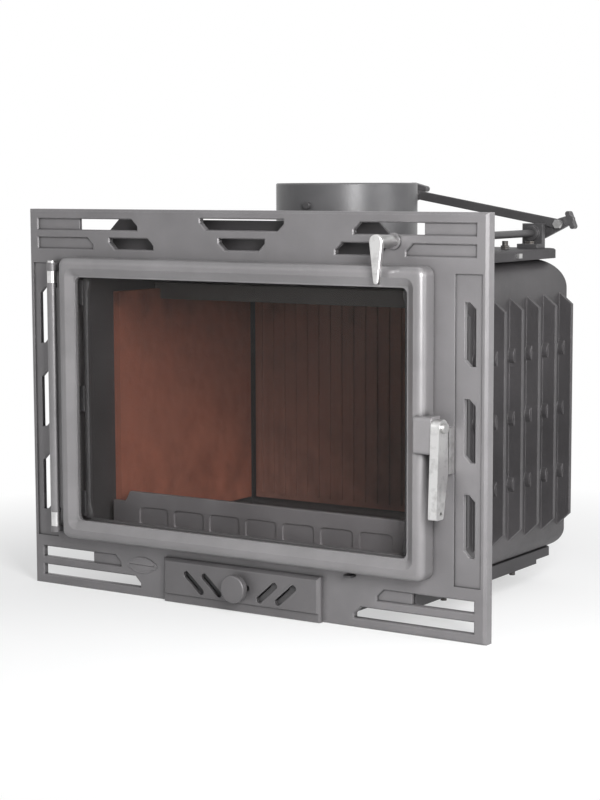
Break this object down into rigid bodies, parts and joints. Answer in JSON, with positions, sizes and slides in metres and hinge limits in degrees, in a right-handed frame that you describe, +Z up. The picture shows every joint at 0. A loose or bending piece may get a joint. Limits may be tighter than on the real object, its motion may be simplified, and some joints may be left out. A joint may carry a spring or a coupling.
{
  "type": "fireplace insert",
  "caption": "Cast-iron wood-burning fireplace insert with slotted face plate, glazed hinged door, finned firebox, flue collar, damper linkage and ash drawer.",
  "frame": {"origin": "middle of the whole insert's bounding box at the surface it stands on (the plate's bottom edge and the ash box's floor)", "axes": "+X along the face plate to the right as seen from the front, +Y from the door back into the firebox, +Z up to the flue collar"},
  "size_m": [0.7, 0.45, 0.545],
  "materials": {
    "iron_plate": "satin grey stove paint with a metallic fleck",
    "iron_door": "satin grey stove paint with a metallic fleck",
    "iron_shell": "matt charcoal stove paint on a cast surface",
    "iron_collar": "matt charcoal stove paint, machined rim",
    "iron_ash": "satin grey stove paint with a metallic fleck",
    "iron_inside": "bare iron, dull and heat-darkened",
    "lining_side": "heat-browned cast liner",
    "lining_rear": "pale grey heat-bleached cast liner",
    "steel_fixings": "dull steel screws and nuts",
    "bright_steel": "bright turned and ground steel",
    "dark_steel": "blackened steel",
    "glass": "clear ceramic glass",
    "glass_fibre": "dark glass-fibre rope and tape"
  },
  "bodies": {
    "insert": {"face_plate": "iron_plate", "side_wall_left": "iron_shell", "side_wall_right": "iron_shell", "back_wall": "iron_shell", "top_plate": "iron_shell", "base_plate": "iron_shell", "top_studs": "steel_fixings", "base_studs": "steel_fixings", "edge_screws": "bright_steel", "flue_collar": "iron_collar", "collar_bolts": "steel_fixings", "shaft_bracket": "dark_steel", "bracket_bolt": "steel_fixings", "hinge_pins": "bright_steel", "hinge_bushes": "bright_steel", "latch_keeper": "bright_steel", "keeper_screws": "steel_fixings", "lining_left": "lining_side", "lining_right": "lining_side", "lining_back": "lining_rear", "baffle": "iron_inside", "log_guard": "iron_inside", "grate": "iron_inside", "ash_box": "dark_steel", "tab_guide": "dark_steel"},
    "door": {"door_frame": "iron_door", "door_glass": "glass", "glass_seal": "glass_fibre", "glass_clips": "dark_steel", "clip_screws": "steel_fixings", "door_rope": "glass_fibre", "handle_bolt": "bright_steel"},
    "door_handle": {"handle_lever": "bright_steel"},
    "damper_lever": {"damper_handle": "bright_steel", "damper_hub": "bright_steel", "lever_shaft": "dark_steel", "lever_crank": "dark_steel", "lever_crank_pin": "bright_steel"},
    "link": {"link_bar": "dark_steel"},
    "damper": {"damper_blade": "dark_steel", "damper_axle": "dark_steel", "rear_crank": "dark_steel", "rear_crank_pin": "bright_steel"},
    "ash_drawer": {"ash_pan": "dark_steel", "ash_front": "iron_ash", "front_bolts": "steel_fixings"},
    "air_slide": {"air_slide": "dark_steel", "air_knob": "iron_ash"},
    "air_tab": {"air_tab": "dark_steel"}
  },
  "joints": [
    {"name": "door_hinge", "type": "hinge", "parent": "insert", "child": "door", "pos_m": [-0.2995, -0.1955, 0.26], "axis": [0, 0, -1], "range_deg": [0, 105]},
    {"name": "handle_pivot", "type": "hinge", "parent": "door", "child": "door_handle", "pos_m": [0.3, -0.207, 0.26], "axis": [-1, 0, 0], "range_deg": [0, 70]},
    {"name": "lever_turn", "type": "hinge", "parent": "insert", "child": "damper_lever", "pos_m": [0.223, 0, 0.477], "axis": [0, -1, 0], "range_deg": [0, 90]},
    {"name": "link_pivot", "type": "hinge", "parent": "damper_lever", "child": "link", "pos_m": [0.254, 0.202, 0.4895], "axis": [0, -1, 0], "range_deg": [-90, 0]},
    {"name": "damper_turn", "type": "hinge", "parent": "insert", "child": "damper", "pos_m": [0, 0.069, 0.516], "axis": [0, -1, 0], "range_deg": [0, 90]},
    {"name": "drawer_slide", "type": "slide", "parent": "insert", "child": "ash_drawer", "axis": [0, -1, 0], "range_m": [0, 0.24]},
    {"name": "air_slide_run", "type": "slide", "parent": "ash_drawer", "child": "air_slide", "axis": [1, 0, 0], "range_m": [0, 0.012]},
    {"name": "tab_pull", "type": "slide", "parent": "insert", "child": "air_tab", "axis": [0, -1, 0], "range_m": [0, 0.018]}
  ],
  "couplings": [
    {"joint": "link_pivot", "follows": "lever_turn", "ratio": -1},
    {"joint": "damper_turn", "follows": "lever_turn", "ratio": 1}
  ]
}
